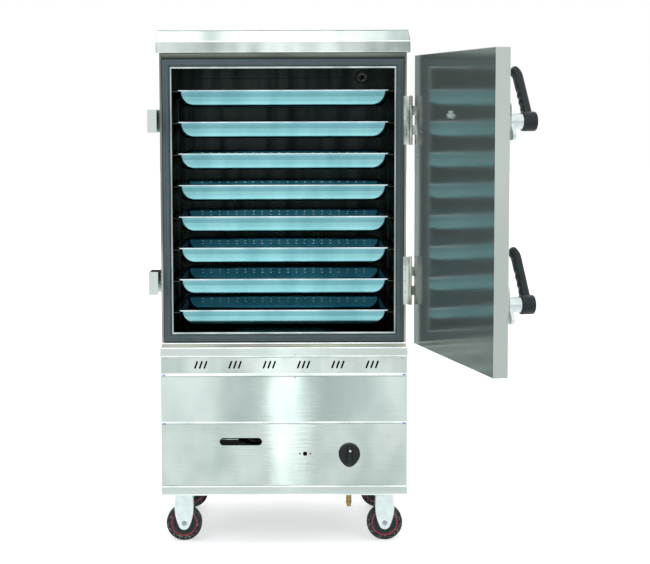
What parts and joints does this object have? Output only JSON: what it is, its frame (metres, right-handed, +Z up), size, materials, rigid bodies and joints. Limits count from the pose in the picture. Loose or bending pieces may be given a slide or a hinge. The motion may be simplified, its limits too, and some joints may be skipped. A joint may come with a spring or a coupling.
{
  "type": "rice steamer cabinet",
  "caption": "Upright stainless gas steamer cabinet on castors, with sliding trays, an insulated hinged door with turning latch levers, and a burner under its water tank.",
  "frame": {"origin": "on the floor, in the middle of the four castor contacts, under the centre of the body", "axes": "+X to the cabinet's right as seen from the front, +Y to the back, +Z up; the door faces -Y when it is closed"},
  "size_m": [0.9739, 1.2577, 1.4245],
  "materials": {
    "stainless": "satin stainless sheet",
    "stainless_bright": "bright, nearly mirror stainless sheet",
    "stainless_chamber": "bright stainless, dulled by steam",
    "silicone": "smooth satin silicone",
    "foam": "rigid foam filling, out of sight",
    "zinc": "bright zinc plate",
    "wheel_grey": "grey polyurethane",
    "black_plastic": "matt black moulding",
    "brass": "dull machined brass",
    "iron": "rough grey casting",
    "copper_pipe": "drawn pipe",
    "needle_red": "painted"
  },
  "bodies": {
    "cabinet": {"top_cap": "stainless", "side_panels": "stainless", "rear_panel": "stainless", "chamber_liner": "stainless_chamber", "insulation": "foam", "front_frame": "stainless", "frame_gasket": "silicone", "left_rack": "stainless", "right_rack": "stainless", "steam_vent": "stainless", "latch_keepers": "stainless", "frame_hinge_leaves": "stainless", "hinge_pins": "zinc", "base_frame": "stainless", "base_side_panels": "stainless", "base_rear_panel": "stainless", "vent_strip": "stainless", "upper_front_panel": "stainless", "control_panel": "stainless", "water_tank": "stainless", "steam_plate": "stainless", "burner": "iron", "gas_pipe": "copper_pipe", "gas_inlet": "brass", "gas_valve": "brass", "drain_valve": "brass", "rigid_forks": "zinc", "front_axles": "zinc", "swivel_plates": "zinc"},
    "door": {"door_skin": "stainless", "door_inner_panel": "stainless_bright", "door_core": "foam", "door_hinge_leaves": "stainless", "latch_plates": "stainless", "thermometer": "stainless", "thermometer_nut": "zinc"},
    "upper_latch": {"upper_latch_hook": "zinc", "upper_latch_lever": "black_plastic"},
    "lower_latch": {"lower_latch_hook": "zinc", "lower_latch_lever": "black_plastic"},
    "pointer": {"thermometer_pointer": "needle_red"},
    "knob": {"control_knob": "black_plastic", "valve_spindle": "brass"},
    "drain_handle": {"drain_lever": "zinc"},
    "tray_1": {"tray_1": "stainless_bright"},
    "tray_2": {"tray_2": "stainless_bright"},
    "tray_3": {"tray_3": "stainless_bright"},
    "tray_4": {"tray_4": "stainless_bright"},
    "tray_5": {"tray_5": "stainless_bright"},
    "tray_6": {"tray_6": "stainless_bright"},
    "tray_7": {"tray_7": "stainless_bright"},
    "tray_8": {"tray_8": "stainless_bright"},
    "rear_left_swivel": {"rear_left_fork": "zinc", "rear_left_axle": "zinc"},
    "rear_left_roller": {"rear_left_wheel": "wheel_grey"},
    "front_left_roller": {"front_left_wheel": "wheel_grey"},
    "rear_right_swivel": {"rear_right_fork": "zinc", "rear_right_axle": "zinc"},
    "rear_right_roller": {"rear_right_wheel": "wheel_grey"},
    "front_right_roller": {"front_right_wheel": "wheel_grey"}
  },
  "joints": [
    {"name": "door_hinge", "type": "hinge", "parent": "cabinet", "child": "door", "pos_m": [0.3493, -0.27125, 0.95925], "axis": [0, 0, 1], "range_deg": [-102.2, 67.8]},
    {"name": "lower_latch_turn", "type": "hinge", "parent": "door", "child": "lower_latch", "pos_m": [0.55557, -0.89403, 0.73925], "axis": [0.9774, 0.2113, 0], "range_deg": [-54, 20]},
    {"name": "upper_latch_turn", "type": "hinge", "parent": "door", "child": "upper_latch", "pos_m": [0.55557, -0.89403, 1.17925], "axis": [0.9774, 0.2113, 0], "range_deg": [-54, 20]},
    {"name": "pointer_turn", "type": "hinge", "parent": "door", "child": "pointer", "pos_m": [0.46805, -0.58627, 1.193], "axis": [0.9774, 0.2113, 0], "range_deg": [-135, 135], "stiffness_Nm_per_rad": 0.002},
    {"name": "knob_turn", "type": "hinge", "parent": "cabinet", "child": "knob", "pos_m": [0.181, -0.275, 0.2565], "axis": [0, -1, 0], "range_deg": [0, 90]},
    {"name": "drain_turn", "type": "hinge", "parent": "cabinet", "child": "drain_handle", "pos_m": [-0.15, 0.298, 0.4445], "axis": [0, 0, 1], "range_deg": [0, 90]},
    {"name": "tray_1_slide", "type": "slide", "parent": "cabinet", "child": "tray_1", "axis": [0, -1, 0], "range_m": [0, 0.36]},
    {"name": "tray_2_slide", "type": "slide", "parent": "cabinet", "child": "tray_2", "axis": [0, -1, 0], "range_m": [0, 0.36]},
    {"name": "tray_3_slide", "type": "slide", "parent": "cabinet", "child": "tray_3", "axis": [0, -1, 0], "range_m": [0, 0.36]},
    {"name": "tray_4_slide", "type": "slide", "parent": "cabinet", "child": "tray_4", "axis": [0, -1, 0], "range_m": [0, 0.36]},
    {"name": "tray_5_slide", "type": "slide", "parent": "cabinet", "child": "tray_5", "axis": [0, -1, 0], "range_m": [0, 0.36]},
    {"name": "tray_6_slide", "type": "slide", "parent": "cabinet", "child": "tray_6", "axis": [0, -1, 0], "range_m": [0, 0.36]},
    {"name": "tray_7_slide", "type": "slide", "parent": "cabinet", "child": "tray_7", "axis": [0, -1, 0], "range_m": [0, 0.36]},
    {"name": "tray_8_slide", "type": "slide", "parent": "cabinet", "child": "tray_8", "axis": [0, -1, 0], "range_m": [0, 0.36]},
    {"name": "rear_left_swivel_turn", "type": "hinge", "parent": "cabinet", "child": "rear_left_swivel", "pos_m": [-0.2495, 0.21, 0.13], "axis": [0, 0, 1], "continuous": true},
    {"name": "rear_left_wheel_spin", "type": "hinge", "parent": "rear_left_swivel", "child": "rear_left_roller", "pos_m": [-0.2825, 0.21, 0.05], "axis": [0, 1, 0], "continuous": true},
    {"name": "front_left_wheel_spin", "type": "hinge", "parent": "cabinet", "child": "front_left_roller", "pos_m": [-0.2825, -0.21, 0.05], "axis": [0, 1, 0], "continuous": true},
    {"name": "rear_right_swivel_turn", "type": "hinge", "parent": "cabinet", "child": "rear_right_swivel", "pos_m": [0.2495, 0.21, 0.13], "axis": [0, 0, 1], "continuous": true},
    {"name": "rear_right_wheel_spin", "type": "hinge", "parent": "rear_right_swivel", "child": "rear_right_roller", "pos_m": [0.2825, 0.21, 0.05], "axis": [0, 1, 0], "continuous": true},
    {"name": "front_right_wheel_spin", "type": "hinge", "parent": "cabinet", "child": "front_right_roller", "pos_m": [0.2825, -0.21, 0.05], "axis": [0, 1, 0], "continuous": true}
  ]
}
